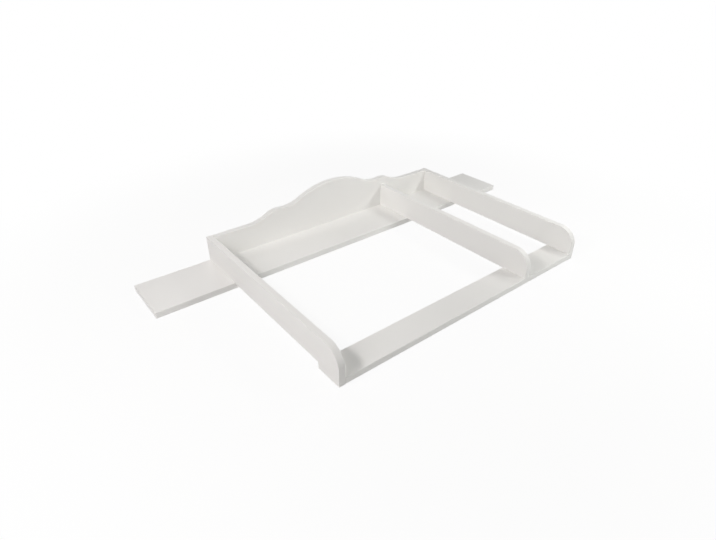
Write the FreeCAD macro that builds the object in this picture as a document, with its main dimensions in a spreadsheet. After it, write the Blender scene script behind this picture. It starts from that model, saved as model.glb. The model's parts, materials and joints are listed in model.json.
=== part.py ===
import FreeCAD, Part
import math
import os
import re
import Sketcher

# Changing top for a wide chest of drawers. A long rear plank rests on the chest and runs out as a wing on
# both sides. Two side panels, a divider and a scalloped back panel stand on it, and a narrow front plank ties
# their front ends together. Frame: millimetres, X along the rear plank, Y from front to back, Z up, and the
# origin in the middle of the underside.

SIZES = {
    # Boards
    "board": 22.0,
    "plank_length": 1600.0,
    "rear_plank_depth": 194.0,
    "front_plank_depth": 95.0,
    "tray_width": 1062.0,
    "tray_depth": 777.0,
    "compartment_width": 238.0,
    "side_height": 92.0,
    "front_round": 60.0,
    "edge_round": 2.0,
    # Scalloped top of the back panel: the shoulder's rise above the side panels, the crown's rise above the
    # shoulder, the valley's dip below it, and the arcs that run into each other
    "shoulder_rise": 31.0,
    "crown_rise": 51.0,
    "valley_dip": 2.0,
    "crown_radius": 336.0,
    "valley_radius": 155.0,
    "shoulder_radius": 92.0,
    "foot_radius": 165.0,
    # Fits: room around the hardware, extra depth of blind holes, wood left beyond the holes in the side
    # panels, and how far heads lie below the surface
    "fit_gap": 0.1,
    "hole_relief": 1.0,
    "blind_wall": 9.0,
    "head_sink": 0.3,
    # Screws with cylinder heads, and where they stand
    "screw_length": 50.0,
    "screw_diameter": 4.5,
    "screw_head": 9.0,
    "screw_head_height": 3.0,
    "plank_screw_inset": 30.0,
    "front_screw_inset": 25.0,
    "back_screw_inset": 60.0,
    # Dowels beside each cam
    "dowel_diameter": 8.0,
    "dowel_length": 35.0,
    "dowel_inset": 15.0,
    # Cam connectors: the cam sits in a plank or in the back panel, its bolt in a side panel
    "cam_diameter": 15.0,
    "cam_cover": 5.0,
    "cam_setback": 24.0,
    "bolt_thread": 6.0,
    "bolt_shank": 7.0,
    "bolt_neck": 4.0,
    "bolt_neck_length": 4.5,
    "bolt_head": 6.5,
    "bolt_head_length": 3.5,
}
BACK_SCREW_COUNT = 4
# Screws, dowels and bolts lie hidden in their holes, so both have flats instead of a true round
FLAT_COUNT = 12

X, Y, Z = range(3)
ALONG = (FreeCAD.Rotation(FreeCAD.Vector(0, 1, 0), 90), FreeCAD.Rotation(FreeCAD.Vector(1, 0, 0), -90),
         FreeCAD.Rotation())
PLANES = ("YZ_Plane", "XZ_Plane", "XY_Plane")
TINY = 1e-6

# Formulas in the sizes above that several pieces share
LEFT_FACE = "-tray_width / 2"
LEFT_INSIDE = "(board - tray_width / 2)"
RIGHT_INSIDE = "(tray_width / 2 - board)"
DIVIDER_LEFT = "(tray_width / 2 - board - compartment_width - board)"
DIVIDER_MIDDLE = "(tray_width / 2 - board - compartment_width - board / 2)"
FRONT = "-tray_depth / 2"
BACK = "tray_depth / 2"
FRONT_PLANK_BACK = "(front_plank_depth - tray_depth / 2)"
REAR_PLANK_FRONT = "(tray_depth / 2 - rear_plank_depth)"
BACK_PANEL_FRONT = "(tray_depth / 2 - board)"
BACK_PANEL_MIDDLE = "(tray_depth / 2 - board / 2)"
PANEL_TOP = "(board + side_height)"
SHOULDER_HEIGHT = "side_height + shoulder_rise"
SCREW_BORE = "screw_diameter + 2 * fit_gap"
SCREW_SEAT = "head_sink + screw_head_height"
SCREW_PILOT_DEPTH = "head_sink + screw_length - board + hole_relief"
DOWEL_BORE = "dowel_diameter + 2 * fit_gap"
PANEL_SEAT = "(board - blind_wall - hole_relief)"
CAM_POCKET = "cam_diameter + 2 * fit_gap"
CAM_POCKET_DEPTH = "board / 2 + cam_cover"

# Each board's own corner or middle, from which its sketches are measured
ORIGINS = {
    "rear_plank": ("-plank_length / 2", REAR_PLANK_FRONT, "0"),
    "front_plank": (LEFT_INSIDE, FRONT, "0"),
    "left_side_panel": (LEFT_FACE, FRONT, "0"),
    "right_side_panel": (RIGHT_INSIDE, FRONT, "0"),
    "divider": (DIVIDER_LEFT, FRONT, "board"),
    "back_panel": ("0", BACK, "board"),
}

doc = FreeCAD.newDocument("changing_top")
sheet = doc.addObject("Spreadsheet::Sheet", "Sizes")


def fill_sheet():
    for row, (name, value) in enumerate(SIZES.items(), start=1):
        sheet.set(f"A{row}", name)
        sheet.set(f"B{row}", str(value))
        sheet.setAlias(f"B{row}", name)
    doc.recompute()


def bind(item, path, formula):
    """Tie a property to the sheet: words in the formula that name a size become cells."""
    cells = re.sub(r"[a-z_]+", lambda word: f"Sizes.{word[0]}" if word[0] in SIZES else word[0], formula)
    item.setExpression(path, cells)


def put(item, place):
    for axis, formula in zip("xyz", place):
        bind(item, f"Placement.Base.{axis}", formula)


def shifted(points, axis, formula):
    """The same points with one coordinate replaced."""
    return [tuple(formula if i == axis else p[i] for i in (X, Y, Z)) for p in points]


# Sketches and features of the boards

def new_board(label):
    body = doc.addObject("PartDesign::Body", label)
    put(body, ORIGINS[label])
    return body


def origin_plane(body, axis):
    return next(f for f in body.Origin.OriginFeatures if f.Role == PLANES[axis])


def new_sketch(body, axis):
    """A sketch of the board's outline, square to an axis through the board's own origin."""
    sketch = body.newObject("Sketcher::SketchObject", f"{body.Name}_outline")
    sketch.AttachmentSupport = [(origin_plane(body, axis), "")]
    sketch.MapMode = "FlatFace"
    return sketch


def constrain(sketch, formula, kind, *where, start=1.0):
    number = sketch.addConstraint(Sketcher.Constraint(kind, *where, start))
    bind(sketch, f"Constraints[{number}]", formula)


def square_outline(sketch, corners):
    """A closed outline of level and upright lines, from the sketch's origin along X first."""
    count = len(corners)
    step = 100.0
    start = [(step * ((i + 1) // 2), step * (i // 2)) for i in range(count - 1)]
    start.append((0.0, start[-1][1]))
    for i in range(count):
        ends = [FreeCAD.Vector(*start[k % count], 0) for k in (i, i + 1)]
        sketch.addGeometry(Part.LineSegment(*ends))
    for i in range(count):
        sketch.addConstraint(Sketcher.Constraint("Coincident", i, 2, (i + 1) % count, 1))
        sketch.addConstraint(Sketcher.Constraint("Vertical" if i % 2 else "Horizontal", i))
    sketch.addConstraint(Sketcher.Constraint("Coincident", 0, 1, -1, 1))
    for i in range(1, count - 1):
        along = i % 2 == 0
        constrain(sketch, corners[i][along], "DistanceY" if along else "DistanceX", -1, 1, i, 1)


def pad(body, sketch):
    feature = body.newObject("PartDesign::Pad", f"{body.Name}_pad")
    feature.Profile = sketch
    bind(feature, "Length", "board")
    doc.recompute()


def round_edges(body, name, radius, wanted):
    """Round the edges of the board so far that the test picks."""
    base = body.Tip
    picked = [f"Edge{i}" for i, edge in enumerate(base.Shape.Edges, start=1) if wanted(edge.BoundBox)]
    feature = body.newObject("PartDesign::Fillet", f"{body.Name}_{name}")
    feature.Base = (base, picked)
    bind(feature, "Radius", radius)
    doc.recompute()


def drill(body, name, axis, sense, mouths, diameter, depth, true_round=False):
    """Holes from mouths in the object's frame, which run up an axis or down it by sense."""
    volume = body.Shape.Volume
    kind, radius = ("Cylinder", "Radius") if true_round else ("Prism", "Circumradius")
    for number, mouth in enumerate(mouths, start=1):
        place = [f"{point} - ({origin})" for point, origin in zip(mouth, ORIGINS[body.Name])]
        if sense < 0:
            place[axis] += f" - ({depth})"
        hole = body.newObject(f"PartDesign::Subtractive{kind}", f"{body.Name}_{name}_hole_{number}")
        if not true_round:
            hole.Polygon = FLAT_COUNT
        hole.Placement = FreeCAD.Placement(FreeCAD.Vector(), ALONG[axis])
        put(hole, place)
        bind(hole, radius, f"({diameter}) / 2")
        bind(hole, "Height", depth)
    doc.recompute()
    if body.Shape.Volume > volume - TINY:
        raise RuntimeError(f"{body.Tip.Name} cuts nothing")


def drill_from_below(body, name, mouths):
    """Through holes for screws, widened at the mouths so that the heads lie below the surface."""
    drill(body, name, Z, 1, mouths, SCREW_BORE, "board")
    drill(body, f"{name}_heads", Z, 1, mouths, "screw_head + 2 * fit_gap", SCREW_SEAT)


# Where the screws go in, under the planks

def side_screws(middle):
    return [(middle, f"{REAR_PLANK_FRONT} + plank_screw_inset", "0"),
            (middle, f"{BACK} - plank_screw_inset", "0")]


def back_screws():
    first = f"({LEFT_INSIDE} + back_screw_inset)"
    span = f"({RIGHT_INSIDE} - {LEFT_INSIDE} - 2 * back_screw_inset)"
    gaps = BACK_SCREW_COUNT - 1
    return [(f"{first} + {span} * {i} / {gaps}", BACK_PANEL_MIDDLE, "0") for i in range(BACK_SCREW_COUNT)]


SCREWS = {
    "left_panel_screws": side_screws(f"({LEFT_INSIDE} - board / 2)"),
    "right_panel_screws": side_screws(f"({RIGHT_INSIDE} + board / 2)"),
    "divider_rear_screws": [
        (DIVIDER_MIDDLE, f"{REAR_PLANK_FRONT} + plank_screw_inset", "0"),
        (DIVIDER_MIDDLE, f"{BACK_PANEL_FRONT} - plank_screw_inset", "0")],
    "back_panel_screws": back_screws(),
    "divider_front_screws": [(DIVIDER_MIDDLE, f"{FRONT} + front_screw_inset", "0"),
                             (DIVIDER_MIDDLE, f"{FRONT_PLANK_BACK} - front_screw_inset", "0")],
}

# The cam joints, where the ends of the front plank and of the back panel meet a side panel

def across_end(low, high):
    """Places across the end of a board: the bolt in the middle and a dowel near each edge."""
    return f"({low} + {high}) / 2", f"{low} + dowel_inset", f"{high} - dowel_inset"


FRONT_END = [(y, "board / 2") for y in across_end(FRONT, FRONT_PLANK_BACK)]
BACK_END = [(BACK_PANEL_MIDDLE, z) for z in across_end("board", PANEL_TOP)]
# For each joint, the inner face of its side panel, the way its bolt points along X, and the board end
CAM_JOINTS = {
    "front_left": (LEFT_INSIDE, 1, FRONT_END),
    "front_right": (RIGHT_INSIDE, -1, FRONT_END),
    "back_left": (LEFT_INSIDE, 1, BACK_END),
    "back_right": (RIGHT_INSIDE, -1, BACK_END),
}


def joint_places(joint):
    """The way a joint's bolt points, the bolt's place and the two dowels' places."""
    inside, sense, end = CAM_JOINTS[joint]
    bolt, *dowels = [(inside, *point) for point in end]
    return sense, bolt, dowels


def drill_joint_end(body, joint):
    """Holes in the end of a plank or the back panel for a cam joint's bolt and dowels."""
    sense, bolt, dowels = joint_places(joint)
    drill(body, f"{joint}_bolt", X, sense, [bolt], "bolt_shank + 2 * fit_gap", "cam_setback")
    depth = f"dowel_length - {PANEL_SEAT} + hole_relief"
    drill(body, f"{joint}_dowels", X, sense, dowels, DOWEL_BORE, depth)


def drill_joint_panel(body, joint):
    """Holes in a side panel's inner face for the same bolt and dowels."""
    sense, bolt, dowels = joint_places(joint)
    drill(body, f"{joint}_bolt", X, -sense, [bolt], "bolt_thread + 2 * fit_gap", "board - blind_wall")
    drill(body, f"{joint}_dowels", X, -sense, dowels, DOWEL_BORE, "board - blind_wall")


def cam_mouths(joints, axis, level):
    """Middles of the cam pockets on the face of a plank or of the back panel."""
    middles = []
    for joint in joints:
        sense, bolt, _ = joint_places(joint)
        middles.append((f"{bolt[X]} + {sense} * cam_setback", bolt[Y], bolt[Z]))
    return shifted(middles, axis, level)


# Boards

def make_rear_plank():
    body = new_board("rear_plank")
    sketch = new_sketch(body, Z)
    square_outline(sketch, [("0", "0"), ("plank_length", "0"), ("plank_length", "rear_plank_depth"),
                            ("0", "rear_plank_depth")])
    pad(body, sketch)
    round_edges(body, "edges", "edge_round", lambda box: True)
    for name in ("left_panel_screws", "right_panel_screws", "divider_rear_screws", "back_panel_screws"):
        drill_from_below(body, name, SCREWS[name])


def make_front_plank():
    body = new_board("front_plank")
    length = "tray_width - 2 * board"
    sketch = new_sketch(body, Z)
    square_outline(sketch, [("0", "0"), (length, "0"), (length, "front_plank_depth"),
                            ("0", "front_plank_depth")])
    pad(body, sketch)
    round_edges(body, "edges", "edge_round", lambda box: box.YLength < TINY and box.ZLength < TINY)
    drill_from_below(body, "divider_screws", SCREWS["divider_front_screws"])
    joints = ("front_left", "front_right")
    drill(body, "cams", Z, 1, cam_mouths(joints, Z, "0"), CAM_POCKET, CAM_POCKET_DEPTH, true_round=True)
    for joint in joints:
        drill_joint_end(body, joint)


def round_panel(body, back_end_shows):
    """The big round at the top front corner of an upright panel, and eased edges where it stands free."""
    whole = body.Shape.BoundBox
    top = whole.ZMax - body.Placement.Base.z
    back = whole.YMax - body.Placement.Base.y
    round_edges(body, "front_round", "front_round",
                lambda box: box.YLength < TINY and box.YMax < TINY and box.ZMin > top - TINY)
    round_edges(body, "edges", "edge_round",
                lambda box: box.XLength < TINY and (box.ZMax > top - TINY or box.YMax < TINY)
                and (back_end_shows or box.YMin < back - TINY))


def make_side_panel(label, side, screws):
    """A side panel with a foot at its front end that covers the end of the front plank."""
    body = new_board(label)
    sketch = new_sketch(body, X)
    square_outline(sketch, [("0", "0"), ("front_plank_depth", "0"), ("front_plank_depth", "board"),
                            ("tray_depth", "board"), ("tray_depth", PANEL_TOP), ("0", PANEL_TOP)])
    pad(body, sketch)
    round_panel(body, back_end_shows=True)
    mouths = shifted(SCREWS[screws], Z, "board")
    drill(body, "screws", Z, 1, mouths, SCREW_BORE, SCREW_PILOT_DEPTH)
    for end in ("front", "back"):
        drill_joint_panel(body, f"{end}_{side}")


def make_divider():
    body = new_board("divider")
    sketch = new_sketch(body, X)
    length = "tray_depth - board"
    square_outline(sketch, [("0", "0"), (length, "0"), (length, "side_height"), ("0", "side_height")])
    pad(body, sketch)
    round_panel(body, back_end_shows=False)
    for name in ("divider_rear_screws", "divider_front_screws"):
        mouths = shifted(SCREWS[name], Z, "board")
        drill(body, name, Z, 1, mouths, SCREW_BORE, SCREW_PILOT_DEPTH)


def scallop_outline(sketch):
    """Right half of the back panel: crown, valley, shoulder and foot are arcs that run into each other."""
    half = SIZES["tray_width"] / 2 - SIZES["board"]
    side = SIZES["side_height"]
    ridge = side + SIZES["shoulder_rise"]
    top = ridge + SIZES["crown_rise"]
    names = ("crown", "valley", "shoulder", "foot")
    radii = [SIZES[f"{name}_radius"] for name in names]
    heights = [top - radii[0], ridge - SIZES["valley_dip"] + radii[1], ridge - radii[2], side + radii[3]]
    middles = [FreeCAD.Vector(0, heights[0], 0)]
    for i in (1, 2, 3):
        reach = math.sqrt((radii[i - 1] + radii[i]) ** 2 - (heights[i] - heights[i - 1]) ** 2)
        middles.append(FreeCAD.Vector(middles[-1].x + reach, heights[i], 0))
    turns = [math.atan2(b.y - a.y, b.x - a.x) for a, b in zip(middles, middles[1:])]
    spans = [(turns[0], math.pi / 2), (turns[0] + math.pi, turns[1] + 2 * math.pi),
             (turns[2], turns[1] + math.pi), (turns[2] + math.pi, 1.5 * math.pi)]
    for middle, radius, span in zip(middles, radii, spans):
        sketch.addGeometry(Part.ArcOfCircle(Part.Circle(middle, FreeCAD.Vector(0, 0, 1), radius), *span))
    corners = [(middles[3].x, side), (half, side), (half, 0), (0, 0), (0, top)]
    for a, b in zip(corners, corners[1:]):
        sketch.addGeometry(Part.LineSegment(FreeCAD.Vector(*a, 0), FreeCAD.Vector(*b, 0)))
    crown, valley, shoulder, foot, level, end, bottom, middle_line = range(8)
    for one, two in (((crown, 1), (valley, 1)), ((valley, 2), (shoulder, 2)), ((shoulder, 1), (foot, 1)),
                     ((foot, 2), (level, 1))):
        sketch.addConstraint(Sketcher.Constraint("Tangent", *one, *two))
    for one, two in (((level, 2), (end, 1)), ((end, 2), (bottom, 1)), ((bottom, 2), (middle_line, 1)),
                     ((middle_line, 2), (crown, 2)), ((bottom, 2), (-1, 1))):
        sketch.addConstraint(Sketcher.Constraint("Coincident", *one, *two))
    for line, way in ((level, "Horizontal"), (end, "Vertical"), (bottom, "Horizontal"),
                      (middle_line, "Vertical")):
        sketch.addConstraint(Sketcher.Constraint(way, line))
    sketch.addConstraint(Sketcher.Constraint("PointOnObject", crown, 3, -2))
    for arc, name, radius in zip((crown, valley, shoulder, foot), names, radii):
        constrain(sketch, f"{name}_radius", "Radius", arc, start=radius)
    constrain(sketch, "tray_width / 2 - board", "DistanceX", -1, 1, bottom, 1, start=half)
    constrain(sketch, "side_height", "DistanceY", -1, 1, end, 1, start=side)
    for arc, point, formula, start in (
            (crown, 2, f"{SHOULDER_HEIGHT} + crown_rise", top),
            (valley, 3, f"{SHOULDER_HEIGHT} - valley_dip + valley_radius", heights[1]),
            (shoulder, 3, f"{SHOULDER_HEIGHT} - shoulder_radius", heights[2])):
        constrain(sketch, formula, "DistanceY", -1, 1, arc, point, start=start)


def make_back_panel():
    body = new_board("back_panel")
    sketch = new_sketch(body, Y)
    scallop_outline(sketch)
    pad(body, sketch)
    mirrored = body.newObject("PartDesign::Mirrored", "back_panel_halves")
    mirrored.Originals = [body.Tip]
    mirrored.MirrorPlane = (origin_plane(body, X), [""])
    body.Tip = mirrored
    doc.recompute()
    width = body.Shape.BoundBox.XLength
    round_edges(body, "edges", "edge_round",
                lambda box: box.YLength < TINY and box.ZMax > TINY and abs(box.Center.x) < width / 2 - TINY)
    mouths = shifted(SCREWS["back_panel_screws"], Z, "board")
    drill(body, "screws", Z, 1, mouths, SCREW_BORE, SCREW_PILOT_DEPTH)
    joints = ("back_left", "back_right")
    drill(body, "cams", Y, -1, cam_mouths(joints, Y, BACK), CAM_POCKET, CAM_POCKET_DEPTH, true_round=True)
    for joint in joints:
        drill_joint_end(body, joint)


# Hardware: one pattern of each kind, made in its own frame and set in place as often as it is used

HALF_TURN = FreeCAD.Rotation(FreeCAD.Vector(0, 0, 1), 180)
FROM_BEHIND = FreeCAD.Rotation(FreeCAD.Vector(1, 0, 0), 90)


def solid(kind, name, place, axis=Z, **sizes):
    item = doc.addObject(kind, name)
    item.Placement = FreeCAD.Placement(FreeCAD.Vector(), ALONG[axis])
    put(item, place)
    for size, formula in sizes.items():
        bind(item, size, formula)
    return item


def rod(name, axis, start, length, width):
    """A rod with flats along an axis of the pattern's frame."""
    place = [start if i == axis else "0" for i in (X, Y, Z)]
    item = solid("Part::Prism", name, place, axis, Circumradius=f"{width} / 2", Height=length)
    item.Polygon = FLAT_COUNT
    return item


def fuse(name, pieces):
    item = doc.addObject("Part::MultiFuse", name)
    item.Shapes = pieces
    return item


def screw_pattern():
    """A screw that points up, with its head's face at the origin."""
    head = rod("screw_head", Z, "0", "screw_head_height", "screw_head")
    shank = rod("screw_shank", Z, "screw_head_height", "screw_length - screw_head_height", "screw_diameter")
    return fuse("screw_pattern", [head, shank])


def dowel_pattern():
    """A dowel along X, with its seat in the side panel at negative X."""
    return rod("dowel_pattern", X, f"-{PANEL_SEAT}", "dowel_length", "dowel_diameter")


BOLT_HEAD_START = "(cam_setback - cam_diameter / 2 - fit_gap + bolt_neck_length)"


def bolt_pattern():
    """A connecting bolt along X: its thread in the side panel, its head in the cam."""
    shank = "cam_setback - cam_diameter / 2 - fit_gap"
    stretches = (("thread", f"-{PANEL_SEAT}", PANEL_SEAT, "bolt_thread"),
                 ("shank", "0", shank, "bolt_shank"),
                 ("neck", shank, "bolt_neck_length", "bolt_neck"),
                 ("head", BOLT_HEAD_START, "bolt_head_length", "bolt_head"))
    return fuse("bolt_pattern", [rod(f"bolt_{name}", X, *sizes) for name, *sizes in stretches])


def cam_pattern():
    """A cam whose slot, open at its inner end, drops over the bolt's neck and head."""
    face = "head_sink - board / 2"
    top = "cam_cover"
    drum = solid("Part::Cylinder", "cam_drum", ("cam_setback", "0", face), Radius="cam_diameter / 2",
                 Height=f"{top} - fit_gap - ({face})")
    outside = "(cam_setback - cam_diameter)"
    slots = []
    for name, start, length, width in (
            ("neck", outside, f"{BOLT_HEAD_START} - {outside}", "bolt_neck"),
            ("head", f"{BOLT_HEAD_START} - fit_gap", "bolt_head_length + 2 * fit_gap", "bolt_head")):
        room = f"({width} / 2 + fit_gap)"
        slots.append(solid("Part::Box", f"cam_{name}_slot", (start, f"-{room}", f"-{room}"), Length=length,
                           Width=f"2 * {room}", Height=f"{room} + {top}"))
    cam = doc.addObject("Part::Cut", "cam_pattern")
    cam.Base = drum
    cam.Tool = fuse("cam_slots", slots)
    return cam


def place_copies(label, pattern, places, turn):
    """One node of equal pieces: copies of a pattern at their places."""
    copies = []
    for number, place in enumerate(places, start=1):
        copy = doc.addObject("App::Link", f"{label}_{number}")
        copy.LinkedObject = pattern
        copy.LinkTransform = True
        copy.Placement = FreeCAD.Placement(FreeCAD.Vector(), turn)
        put(copy, place)
        copies.append(copy)
    node = doc.addObject("Part::Compound", label)
    node.Links = copies


def place_hardware():
    screw = screw_pattern()
    for label, mouths in SCREWS.items():
        place_copies(label, screw, shifted(mouths, Z, "head_sink"), ALONG[Z])
    dowel, bolt, cam = dowel_pattern(), bolt_pattern(), cam_pattern()
    for joint, (_, sense, end) in CAM_JOINTS.items():
        turn = FROM_BEHIND if end is BACK_END else ALONG[Z]
        if sense < 0:
            turn = turn.multiply(HALF_TURN)
        _, bolt_place, dowel_places = joint_places(joint)
        place_copies(f"{joint}_dowels", dowel, dowel_places, turn)
        place_copies(f"{joint}_bolt", bolt, [bolt_place], turn)
        place_copies(f"{joint}_cam", cam, [bolt_place], turn)


def write_nodes():
    doc.recompute()
    for item in doc.Objects:
        if "Invalid" in item.State or "Error" in item.State:
            raise RuntimeError(f"{item.Name} failed: {item.State}")
    hardware = [item for item in doc.Objects if item.TypeId == "Part::Compound"]
    nodes = [doc.getObject(label) for label in ORIGINS] + hardware
    for node in nodes:
        if node.Shape.isNull() or not node.Shape.isValid():
            raise RuntimeError(f"{node.Label} has no valid shape")
    os.makedirs("parts", exist_ok=True)
    for node in nodes:
        node.Shape.exportStep(f"parts/{node.Label}.step")


fill_sheet()
make_rear_plank()
make_front_plank()
make_side_panel("left_side_panel", "left", "left_panel_screws")
make_side_panel("right_side_panel", "right", "right_panel_screws")
make_divider()
make_back_panel()
place_hardware()
write_nodes()
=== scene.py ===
import json
import math

import bmesh
import bpy
from mathutils import Matrix, Vector


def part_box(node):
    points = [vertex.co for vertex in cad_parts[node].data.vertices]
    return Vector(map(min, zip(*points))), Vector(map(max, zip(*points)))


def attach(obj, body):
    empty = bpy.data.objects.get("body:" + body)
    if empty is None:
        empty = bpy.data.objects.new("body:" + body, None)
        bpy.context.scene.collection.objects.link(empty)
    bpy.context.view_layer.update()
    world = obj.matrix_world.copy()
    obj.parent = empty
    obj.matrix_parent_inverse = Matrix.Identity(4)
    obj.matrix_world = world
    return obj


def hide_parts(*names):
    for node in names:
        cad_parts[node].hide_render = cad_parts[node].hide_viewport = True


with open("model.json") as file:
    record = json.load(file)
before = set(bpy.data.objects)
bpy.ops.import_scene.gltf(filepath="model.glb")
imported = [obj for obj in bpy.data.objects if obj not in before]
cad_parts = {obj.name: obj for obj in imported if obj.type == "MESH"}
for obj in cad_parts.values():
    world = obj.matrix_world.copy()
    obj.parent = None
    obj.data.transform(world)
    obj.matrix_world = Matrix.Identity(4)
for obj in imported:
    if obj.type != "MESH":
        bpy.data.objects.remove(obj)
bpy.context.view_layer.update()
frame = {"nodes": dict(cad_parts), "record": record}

# Changing top: the six lacquered boards are the frame's own, and detailed screws, dowels, bolts and cams
# take the places of its plain ones. Everything is in metres.

BODY = "root"
MM = 0.001
X, Y, Z = range(3)
MATRIX_SIZE = 4
QUARTER_TURN = math.radians(90.0)
HALF_TURN = math.pi
FULL_TURN = math.tau
WHITE = (1.0, 1.0, 1.0, 1.0)

# Camera, solved from the photo's edges: its place, its turn in degrees, and the focal length in photo pixels
CAMERA_PLACE = (-1.0949, -1.1834, 0.9774)
CAMERA_TURN = (57.73, 0.0, -38.24)
FOCAL_PIXELS = 516.2
PHOTO_WIDTH = 716
SENSOR_WIDTH = 36.0

# Lamps: place, size across in metres, power in watts and colour; all aim at the middle of the tray
WARM_WHITE = (1.0, 0.974, 0.966)
PLAIN_WHITE = (0.996, 1.0, 0.978)
LAMPS = {
    "key_left": ((-1.63, -0.15, 1.42), 0.3, 10.1, WARM_WHITE),
    "wide_left": ((-2.5, -0.6, 1.5), 1.6, 24.3, WARM_WHITE),
    "back_left": ((-0.5, 1.2, 1.2), 0.8, 3.3, WARM_WHITE),
    "front": ((0.0, -2.2, 0.6), 0.8, 4.6, PLAIN_WHITE),
    "front_right": ((0.9, -1.2, 0.9), 0.5, 6.6, PLAIN_WHITE),
    "high_right": ((1.0, -0.4, 1.0), 0.2, 2.6, PLAIN_WHITE),
    "low_right": ((2.4, 0.0, 0.5), 0.6, 16.0, PLAIN_WHITE),
    "above": ((0.1, 0.25, 0.9), 0.5, 1.3, PLAIN_WHITE),
    "behind": ((0.0, 2.4, 0.17), 0.3, 12.0, PLAIN_WHITE),
}
LAMP_TARGET = (0.0, 0.0, 0.05)
SKY_STRENGTH = 0.04

# Floor: it throws back FLOOR_BOUNCE of the light. Seen directly, a share of it glows white: FLOOR_GLOW
# nearer the middle than FLOOR_FADE_START, and all of it beyond FLOOR_FADE_END. What lies closer to it than
# UNDERLIGHT_REACH is lit from below, so that the underside isn't black when it is looked at from there.
FLOOR_SIZE = 24.0
FLOOR_DROP = 0.5 * MM
FLOOR_BOUNCE = 0.75
FLOOR_GLOW = 0.9
FLOOR_FADE_START = 0.8
FLOOR_FADE_END = 1.7
UNDERLIGHT_REACH = 1.0 * MM
UNDERLIGHT_STRENGTH = 0.7

# Noise: the span of values that tones and roughness run over, and the detail of plain noise
NOISE_LOW = 0.3
NOISE_HIGH = 0.7
NOISE_DETAIL = 2.0
UNSTRETCHED = (1.0, 1.0, 1.0)


# Materials

def new_material(name):
    material = bpy.data.materials.new(name)
    material.use_nodes = True
    tree = material.node_tree
    return material, tree, tree.nodes["Principled BSDF"]


def add_node(tree, kind, inputs=(), **settings):
    """A node with some settings and constant input values."""
    node = tree.nodes.new(kind)
    for name, value in settings.items():
        setattr(node, name, value)
    for name, value in dict(inputs).items():
        node.inputs[name].default_value = value
    return node


def noise(tree, waves, detail=NOISE_DETAIL, stretch=UNSTRETCHED):
    """Noise in the object's own metres: waves per metre, and a stretch that divides them along each axis."""
    place = add_node(tree, "ShaderNodeTexCoord")
    mapping = add_node(tree, "ShaderNodeMapping", {"Scale": [1.0 / factor for factor in stretch]})
    texture = add_node(tree, "ShaderNodeTexNoise", {"Scale": waves, "Detail": detail})
    tree.links.new(place.outputs["Object"], mapping.inputs["Vector"])
    tree.links.new(mapping.outputs["Vector"], texture.inputs["Vector"])
    return texture.outputs["Fac"]


def set_tone(tree, shader, value, dark, light):
    """Run the colour from dark to light with a noise value."""
    ramp = add_node(tree, "ShaderNodeValToRGB")
    ramp.color_ramp.elements[0].position = NOISE_LOW
    ramp.color_ramp.elements[0].color = (*dark, 1.0)
    ramp.color_ramp.elements[1].position = NOISE_HIGH
    ramp.color_ramp.elements[1].color = (*light, 1.0)
    tree.links.new(value, ramp.inputs["Fac"])
    tree.links.new(ramp.outputs["Color"], shader.inputs["Base Color"])


def set_roughness(tree, shader, value, first, last):
    """Run the roughness from first to last with a noise value."""
    spread = add_node(tree, "ShaderNodeMapRange", {"From Min": NOISE_LOW, "From Max": NOISE_HIGH,
                                                   "To Min": first, "To Max": last})
    tree.links.new(value, spread.inputs["Value"])
    tree.links.new(spread.outputs["Result"], shader.inputs["Roughness"])


def set_relief(tree, shader, value, height, strength):
    """Raise the surface with a noise value."""
    bump = add_node(tree, "ShaderNodeBump", {"Distance": height, "Strength": strength})
    tree.links.new(value, bump.inputs["Height"])
    tree.links.new(bump.outputs["Normal"], shader.inputs["Normal"])


def lacquer():
    """Satin white lacquer: faint clouds of tone, uneven gloss and the fine ripple of sprayed paint."""
    material, tree, shader = new_material("white_lacquer")
    clouds = noise(tree, waves=2.6, detail=3.0)
    gloss = noise(tree, waves=40.0, detail=3.0)
    ripple = noise(tree, waves=420.0)
    set_tone(tree, shader, clouds, dark=(0.88, 0.872, 0.853), light=(0.897, 0.89, 0.872))
    set_roughness(tree, shader, gloss, first=0.40, last=0.48)
    set_relief(tree, shader, ripple, height=0.04 * MM, strength=0.25)
    shader.inputs["Specular IOR Level"].default_value = 0.4
    return material


def zinc_steel():
    """Zinc-plated steel: faint clouds of tone and gloss, and a fine grain."""
    material, tree, shader = new_material("zinc_steel")
    clouds = noise(tree, waves=300.0, detail=3.0)
    gloss = noise(tree, waves=900.0)
    grain = noise(tree, waves=4000.0)
    set_tone(tree, shader, clouds, dark=(0.38, 0.39, 0.41), light=(0.50, 0.51, 0.52))
    set_roughness(tree, shader, gloss, first=0.22, last=0.36)
    set_relief(tree, shader, grain, height=0.01 * MM, strength=0.3)
    shader.inputs["Metallic"].default_value = 1.0
    return material


def cast_zinc():
    """Dull die-cast zinc with a grainy skin."""
    material, tree, shader = new_material("cast_zinc")
    clouds = noise(tree, waves=500.0, detail=4.0)
    gloss = noise(tree, waves=1200.0, detail=3.0)
    grain = noise(tree, waves=2500.0, detail=3.0)
    set_tone(tree, shader, clouds, dark=(0.24, 0.245, 0.25), light=(0.36, 0.365, 0.37))
    set_roughness(tree, shader, gloss, first=0.42, last=0.6)
    set_relief(tree, shader, grain, height=0.03 * MM, strength=0.4)
    shader.inputs["Metallic"].default_value = 1.0
    return material


def beech():
    """Bare beech with long grain along the dowel, which lies along X."""
    material, tree, shader = new_material("beech")
    grain = noise(tree, waves=900.0, detail=4.0, stretch=(14.0, 1.0, 1.0))
    set_tone(tree, shader, grain, dark=(0.56, 0.37, 0.21), light=(0.74, 0.56, 0.36))
    set_roughness(tree, shader, grain, first=0.62, last=0.5)
    set_relief(tree, shader, grain, height=0.05 * MM, strength=0.4)
    return material


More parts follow.
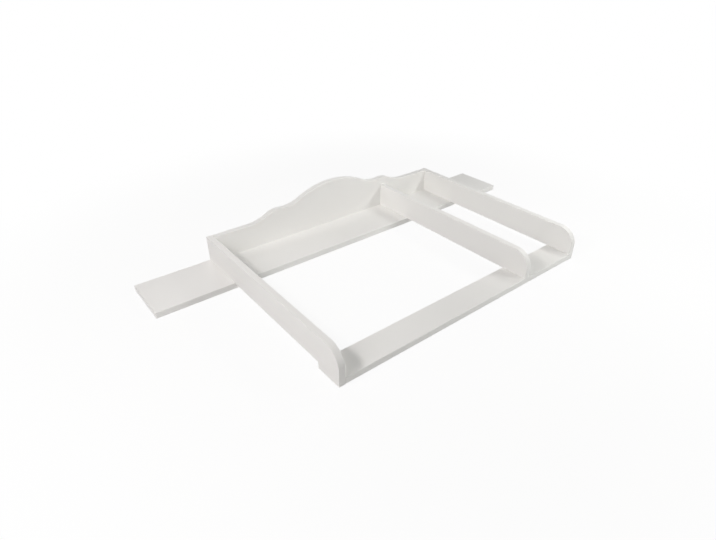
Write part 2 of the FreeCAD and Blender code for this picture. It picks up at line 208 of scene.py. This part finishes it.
MATERIALS = {
    "white_lacquer": lacquer(),
    "zinc_steel": zinc_steel(),
    "cast_zinc": cast_zinc(),
    "beech": beech(),
}


def paint(piece, slot):
    piece.data.materials.clear()
    piece.data.materials.append(MATERIALS[slot])


def paint_frame():
    for subpart in frame["record"]["subparts"]:
        paint(frame["nodes"][subpart["node"]], subpart["material_slot"])


# Hardware: the solids in the frame are plain rods, and these pieces take their places with threads, sockets,
# flutes and chamfers. They are drawn along Z, screws and cams from the face that the tool meets, and dowels
# and bolts from the end in the side panel.

CHAMFER = 0.4 * MM

SCREW_LENGTH = 50.0 * MM
SCREW_HEAD_HEIGHT = 3.0 * MM
SCREW_HEAD_RADIUS = 4.4 * MM
SCREW_SHANK_RADIUS = 1.7 * MM
SCREW_CREST_RADIUS = 2.2 * MM
SCREW_THREAD_START = 18.0 * MM
SCREW_PITCH = 2.2 * MM
SCREW_TIP_LENGTH = 1.5 * SCREW_PITCH
SCREW_TIP_RADIUS = 0.2 * SCREW_SHANK_RADIUS
SOCKET_RADIUS = 2.3 * MM
SOCKET_DEPTH = 2.2 * MM
SOCKET_SIDES = 6

DOWEL_RADIUS = 3.9 * MM
DOWEL_LENGTH = 35.0 * MM
DOWEL_CHAMFER = 1.2 * MM
DOWEL_FLUTES = 20
DOWEL_FLUTE_DEPTH = 0.3 * MM
DOWEL_SIDES = 4 * DOWEL_FLUTES

BOLT_THREAD_LENGTH = 12.0 * MM
BOLT_CORE_RADIUS = 2.2 * MM
BOLT_CREST_RADIUS = 2.95 * MM
BOLT_PITCH = 1.7 * MM
BOLT_SHANK_END = 28.4 * MM
BOLT_SHANK_RADIUS = 3.4 * MM
BOLT_NECK_END = 32.9 * MM
BOLT_NECK_RADIUS = 1.95 * MM
BOLT_LENGTH = 36.4 * MM
BOLT_HEAD_RADIUS = 3.2 * MM
BOLT_HEAD_CHAMFER = 0.8 * MM
BOLT_RECESS_REACH = 1.8 * MM
BOLT_RECESS_WIDTH = 0.8 * MM
BOLT_RECESS_DEPTH = 1.6 * MM

CAM_RADIUS = 7.5 * MM
CAM_DEPTH = 15.6 * MM
CAM_AXIS_DEPTH = 10.7 * MM
CAM_SLOT_REACH = 15.0 * MM
CAM_NECK_ROOM = 2.1 * MM
CAM_HEAD_ROOM = 3.35 * MM
CAM_HEAD_START = -3.2 * MM
CAM_HEAD_END = 0.5 * MM
CAM_RECESS_REACH = 3.4 * MM
CAM_RECESS_WIDTH = 1.3 * MM
CAM_RECESS_DEPTH = 3.5 * MM

ROUND_SIDES = 48
THREAD_SIDES = 24
STATIONS_PER_TURN = 8
THREAD_SHARPNESS = 2.0
SMOOTH_ANGLE = math.radians(40.0)

SCREW_COUNTS = {
    "left_panel_screws": 2,
    "right_panel_screws": 2,
    "divider_rear_screws": 2,
    "divider_front_screws": 2,
    "back_panel_screws": 4,
}
DOWELS_PER_JOINT = 2


def rod(name, stations, sides):
    """A turned rod. A station is a height and a radius, or a rule for the radius at a turn of 0 to 1."""
    vertices = []
    for height, radius in stations:
        for number in range(sides):
            turn = number / sides
            reach = radius(turn) if callable(radius) else radius
            angle = FULL_TURN * turn
            vertices.append((reach * math.cos(angle), reach * math.sin(angle), height))
    faces = [tuple(reversed(range(sides)))]
    for first in range(0, len(vertices) - sides, sides):
        for number in range(sides):
            after = (number + 1) % sides
            faces.append((first + number, first + after, first + sides + after, first + sides + number))
    faces.append(tuple(range(len(vertices) - sides, len(vertices))))
    mesh = bpy.data.meshes.new(name)
    mesh.from_pydata(vertices, [], faces)
    return mesh


def thread(start, end, core, crest, pitch):
    """Stations of a screw thread that fades in and out over one turn at its ends."""
    count = round((end - start) / pitch * STATIONS_PER_TURN)
    stations = []
    for number in range(count + 1):
        height = start + (end - start) * number / count
        fade = min(1.0, (height - start) / pitch, (end - height) / pitch)

        def radius(turn, height=height, fade=fade):
            wave = 0.5 - 0.5 * math.cos(FULL_TURN * (height / pitch - turn))
            return core + (crest - core) * fade * wave ** THREAD_SHARPNESS

        stations.append((height, radius))
    return stations


def block(low, high):
    """A plain box between two corners."""
    mesh = bpy.data.meshes.new("block")
    shape = bmesh.new()
    size = Vector(high) - Vector(low)
    middle = (Vector(high) + Vector(low)) / 2
    place = Matrix.Translation(middle) @ Matrix.Diagonal((*size, 1.0))
    bmesh.ops.create_cube(shape, size=1.0, matrix=place)
    shape.to_mesh(mesh)
    shape.free()
    return mesh


def cross(reach, width, bottom, top):
    """The two bars of a cross recess."""
    half = width / 2
    return [
        block((-reach, -half, bottom), (reach, half, top)),
        block((-half, -reach, bottom), (half, reach, top)),
    ]


def carve(mesh, cutters):
    """The mesh with the cutters taken out of it."""
    blank = bpy.data.objects.new("blank", mesh)
    helpers = [blank]
    for cutter in cutters:
        helper = bpy.data.objects.new("cutter", cutter)
        cut = blank.modifiers.new("cut", "BOOLEAN")
        cut.operation = "DIFFERENCE"
        cut.solver = "EXACT"
        cut.object = helper
        helpers.append(helper)
    for helper in helpers:
        bpy.context.scene.collection.objects.link(helper)
    finished = blank.evaluated_get(bpy.context.evaluated_depsgraph_get())
    carved = bpy.data.meshes.new_from_object(finished)
    for helper in helpers:
        bpy.data.objects.remove(helper)
    return carved


def screw_shape():
    """Cylinder-head screw with a hexagon socket and a coarse wood thread."""
    thread_end = SCREW_LENGTH - SCREW_TIP_LENGTH
    stations = [
        (0.0, SCREW_HEAD_RADIUS - CHAMFER),
        (CHAMFER, SCREW_HEAD_RADIUS),
        (SCREW_HEAD_HEIGHT, SCREW_HEAD_RADIUS),
        (SCREW_HEAD_HEIGHT, SCREW_SHANK_RADIUS),
        *thread(SCREW_THREAD_START, thread_end, SCREW_SHANK_RADIUS, SCREW_CREST_RADIUS, SCREW_PITCH),
        (SCREW_LENGTH, SCREW_TIP_RADIUS),
    ]
    socket = rod("socket", [(-CHAMFER, SOCKET_RADIUS), (SOCKET_DEPTH, SOCKET_RADIUS)], SOCKET_SIDES)
    return carve(rod("screw", stations, THREAD_SIDES), [socket])


def dowel_shape():
    """Fluted dowel with chamfered ends."""
    def flutes(turn):
        return DOWEL_RADIUS - DOWEL_FLUTE_DEPTH * (0.5 + 0.5 * math.cos(FULL_TURN * DOWEL_FLUTES * turn))

    stations = [
        (0.0, DOWEL_RADIUS - DOWEL_CHAMFER),
        (DOWEL_CHAMFER, flutes),
        (DOWEL_LENGTH - DOWEL_CHAMFER, flutes),
        (DOWEL_LENGTH, DOWEL_RADIUS - DOWEL_CHAMFER),
    ]
    return rod("dowel", stations, DOWEL_SIDES)


def bolt_shape():
    """Connecting bolt: thread, shank, thin neck and rounded head with a cross recess."""
    stations = [
        (0.0, BOLT_CORE_RADIUS - CHAMFER),
        *thread(CHAMFER, BOLT_THREAD_LENGTH, BOLT_CORE_RADIUS, BOLT_CREST_RADIUS, BOLT_PITCH),
        (BOLT_THREAD_LENGTH, BOLT_SHANK_RADIUS),
        (BOLT_SHANK_END - CHAMFER, BOLT_SHANK_RADIUS),
        (BOLT_SHANK_END, BOLT_SHANK_RADIUS - CHAMFER),
        (BOLT_SHANK_END, BOLT_NECK_RADIUS),
        (BOLT_NECK_END, BOLT_NECK_RADIUS),
        (BOLT_NECK_END + BOLT_HEAD_CHAMFER, BOLT_HEAD_RADIUS),
        (BOLT_LENGTH - BOLT_HEAD_CHAMFER, BOLT_HEAD_RADIUS),
        (BOLT_LENGTH, BOLT_HEAD_RADIUS - BOLT_HEAD_CHAMFER),
    ]
    recess = cross(BOLT_RECESS_REACH, BOLT_RECESS_WIDTH,
                   BOLT_LENGTH - BOLT_RECESS_DEPTH, BOLT_LENGTH + CHAMFER)
    return carve(rod("bolt", stations, THREAD_SIDES), recess)


def cam_shape():
    """Cam with a cross recess in its face and a slot that takes the bolt's neck and head."""
    stations = [
        (0.0, CAM_RADIUS - CHAMFER),
        (CHAMFER, CAM_RADIUS),
        (CAM_DEPTH - CHAMFER, CAM_RADIUS),
        (CAM_DEPTH, CAM_RADIUS - CHAMFER),
    ]
    past = CAM_DEPTH + CHAMFER
    neck = block((-CAM_SLOT_REACH, -CAM_NECK_ROOM, CAM_AXIS_DEPTH - CAM_NECK_ROOM),
                 (CAM_HEAD_START, CAM_NECK_ROOM, past))
    head = block((CAM_HEAD_START, -CAM_HEAD_ROOM, CAM_AXIS_DEPTH - CAM_HEAD_ROOM),
                 (CAM_HEAD_END, CAM_HEAD_ROOM, past))
    recess = cross(CAM_RECESS_REACH, CAM_RECESS_WIDTH, -CHAMFER, CAM_RECESS_DEPTH)
    return carve(rod("cam", stations, ROUND_SIDES), [neck, head, *recess])


def places_in(node, along, count=1, from_high=False):
    """Starting points of equal pieces that lie along one axis and are spaced evenly across a node's box."""
    low, high = (Vector(corner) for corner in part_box(node))
    across = (axis for axis in (X, Y, Z) if axis != along)
    thin, row = sorted(across, key=lambda axis: high[axis] - low[axis])
    half = (high[thin] - low[thin]) / 2
    places = []
    for number in range(count):
        place = (low + high) / 2
        if count > 1:
            place[row] = low[row] + half + (high[row] - low[row] - 2 * half) * number / (count - 1)
        place[along] = high[along] if from_high else low[along]
        places.append(place)
    return places


def fit_pieces(node, shape, slot, places, turn=Matrix.Identity(MATRIX_SIZE)):
    """Put copies of a shape, as one piece, in the place of a node."""
    joined = bmesh.new()
    for place in places:
        copy = shape.copy()
        copy.transform(Matrix.Translation(place) @ turn)
        joined.from_mesh(copy)
        bpy.data.meshes.remove(copy)
    mesh = bpy.data.meshes.new(f"{node}_detail")
    joined.to_mesh(mesh)
    joined.free()
    mesh.shade_smooth()
    mesh.set_sharp_from_angle(angle=SMOOTH_ANGLE)
    piece = bpy.data.objects.new(f"{node}_detail", mesh)
    bpy.context.scene.collection.objects.link(piece)
    paint(piece, slot)
    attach(piece, BODY)
    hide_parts(node)


def fit_screws():
    screw = screw_shape()
    for node, count in SCREW_COUNTS.items():
        fit_pieces(node, screw, "zinc_steel", places_in(node, Z, count))


def fit_cam(node, cam, row, right):
    """A cam goes into the front plank from below, or into the back panel from behind."""
    turn = Matrix.Rotation(HALF_TURN if right else 0.0, MATRIX_SIZE, "Z")
    places = places_in(node, Z)
    if row == "back":
        turn = Matrix.Rotation(QUARTER_TURN, MATRIX_SIZE, "X") @ turn
        places = places_in(node, Y, from_high=True)
    fit_pieces(node, cam, "cast_zinc", places, turn)


def fit_joints():
    """The dowels, bolt and cam of each board end that meets a side panel."""
    dowel = dowel_shape()
    bolt = bolt_shape()
    cam = cam_shape()
    for row in ("front", "back"):
        for side in ("left", "right"):
            right = side == "right"
            inward = Matrix.Rotation(-QUARTER_TURN if right else QUARTER_TURN, MATRIX_SIZE, "Y")
            node = f"{row}_{side}_dowels"
            fit_pieces(node, dowel, "beech", places_in(node, X, DOWELS_PER_JOINT, right), inward)
            node = f"{row}_{side}_bolt"
            fit_pieces(node, bolt, "zinc_steel", places_in(node, X, from_high=right), inward)
            fit_cam(f"{row}_{side}_cam", cam, row, right)


# Floor, camera and light

def seen_directly(tree):
    """One for rays from the camera, mirrored rays and rays through glass, and nought for other light."""
    path = add_node(tree, "ShaderNodeLightPath")
    total = path.outputs["Is Camera Ray"]
    for name in ("Is Glossy Ray", "Is Transmission Ray"):
        either = add_node(tree, "ShaderNodeMath", operation="MAXIMUM")
        tree.links.new(total, either.inputs[0])
        tree.links.new(path.outputs[name], either.inputs[1])
        total = either.outputs["Value"]
    return total


def is_close(tree, reach):
    """One for rays that have come no further than the reach."""
    path = add_node(tree, "ShaderNodeLightPath")
    close = add_node(tree, "ShaderNodeMath", {1: reach}, operation="LESS_THAN")
    tree.links.new(path.outputs["Ray Length"], close.inputs[0])
    return close.outputs["Value"]


def mix_shaders(tree, share, first, second):
    mix = add_node(tree, "ShaderNodeMixShader")
    tree.links.new(share, mix.inputs["Fac"])
    tree.links.new(first, mix.inputs[1])
    tree.links.new(second, mix.inputs[2])
    return mix.outputs["Shader"]


def white_light(tree, strength):
    light = add_node(tree, "ShaderNodeEmission", {"Color": WHITE, "Strength": strength})
    return light.outputs["Emission"]


def matt_floor(tree, seen):
    """Matt white to the eye, and darker for the light that it throws back."""
    shade = add_node(tree, "ShaderNodeMapRange", {"To Min": FLOOR_BOUNCE, "To Max": 1.0})
    tree.links.new(seen, shade.inputs["Value"])
    matt = add_node(tree, "ShaderNodeBsdfDiffuse")
    tree.links.new(shade.outputs["Result"], matt.inputs["Color"])
    return matt.outputs["BSDF"]


def glow_share(tree, seen, position):
    """How much of the floor glows white: none for light that isn't seen, and more further from the middle."""
    distance = add_node(tree, "ShaderNodeVectorMath", operation="LENGTH")
    tree.links.new(position, distance.inputs[0])
    glow = add_node(tree, "ShaderNodeMapRange", {"From Min": FLOOR_FADE_START, "From Max": FLOOR_FADE_END,
                                                 "To Min": FLOOR_GLOW, "To Max": 1.0},
                    interpolation_type="SMOOTHSTEP")
    tree.links.new(distance.outputs["Value"], glow.inputs["Value"])
    share = add_node(tree, "ShaderNodeMath", operation="MULTIPLY")
    tree.links.new(seen, share.inputs[0])
    tree.links.new(glow.outputs["Result"], share.inputs[1])
    return share.outputs["Value"]


def floor_material():
    """Matt and pale for the light that it throws back, near white to the eye, and open from below."""
    material = bpy.data.materials.new("floor")
    material.cycles.emission_sampling = "NONE"
    material.use_nodes = True
    tree = material.node_tree
    tree.nodes.clear()
    seen = seen_directly(tree)
    place = add_node(tree, "ShaderNodeNewGeometry")
    glow = glow_share(tree, seen, place.outputs["Position"])
    shown = mix_shaders(tree, glow, matt_floor(tree, seen), white_light(tree, 1.0))
    close = is_close(tree, UNDERLIGHT_REACH)
    shown = mix_shaders(tree, close, shown, white_light(tree, UNDERLIGHT_STRENGTH))
    clear = add_node(tree, "ShaderNodeBsdfTransparent")
    both = mix_shaders(tree, place.outputs["Backfacing"], shown, clear.outputs["BSDF"])
    output = add_node(tree, "ShaderNodeOutputMaterial")
    tree.links.new(both, output.inputs["Surface"])
    return material


def make_floor():
    half = FLOOR_SIZE / 2
    corners = [(-half, -half), (half, -half), (half, half), (-half, half)]
    mesh = bpy.data.meshes.new("floor")
    mesh.from_pydata([(x, y, -FLOOR_DROP) for x, y in corners], [], [(0, 1, 2, 3)])
    mesh.materials.append(floor_material())
    floor = bpy.data.objects.new("floor", mesh)
    bpy.context.scene.collection.objects.link(floor)


def make_sky():
    """Soft even light from all round, and plain white behind the object."""
    world = bpy.data.worlds.new("studio")
    bpy.context.scene.world = world
    world.use_nodes = True
    tree = world.node_tree
    background = tree.nodes["Background"]
    background.inputs["Color"].default_value = WHITE
    strength = add_node(tree, "ShaderNodeMapRange", {"To Min": SKY_STRENGTH, "To Max": 1.0})
    tree.links.new(seen_directly(tree), strength.inputs["Value"])
    tree.links.new(strength.outputs["Result"], background.inputs["Strength"])


def make_lamps():
    for name, (place, size, power, colour) in LAMPS.items():
        data = bpy.data.lights.new(name, "AREA")
        data.shape = "DISK"
        data.size = size
        data.energy = power
        data.color = colour
        lamp = bpy.data.objects.new(name, data)
        lamp.location = place
        lamp.rotation_euler = (Vector(LAMP_TARGET) - Vector(place)).to_track_quat("-Z", "Y").to_euler()
        bpy.context.scene.collection.objects.link(lamp)


def make_camera():
    data = bpy.data.cameras.new("camera")
    data.sensor_width = SENSOR_WIDTH
    data.lens = SENSOR_WIDTH * FOCAL_PIXELS / PHOTO_WIDTH
    camera = bpy.data.objects.new("camera", data)
    camera.location = CAMERA_PLACE
    camera.rotation_euler = [math.radians(angle) for angle in CAMERA_TURN]
    bpy.context.scene.collection.objects.link(camera)
    bpy.context.scene.camera = camera


bpy.context.scene.view_settings.view_transform = "Standard"
paint_frame()
fit_screws()
fit_joints()
make_floor()
make_sky()
make_lamps()
make_camera()
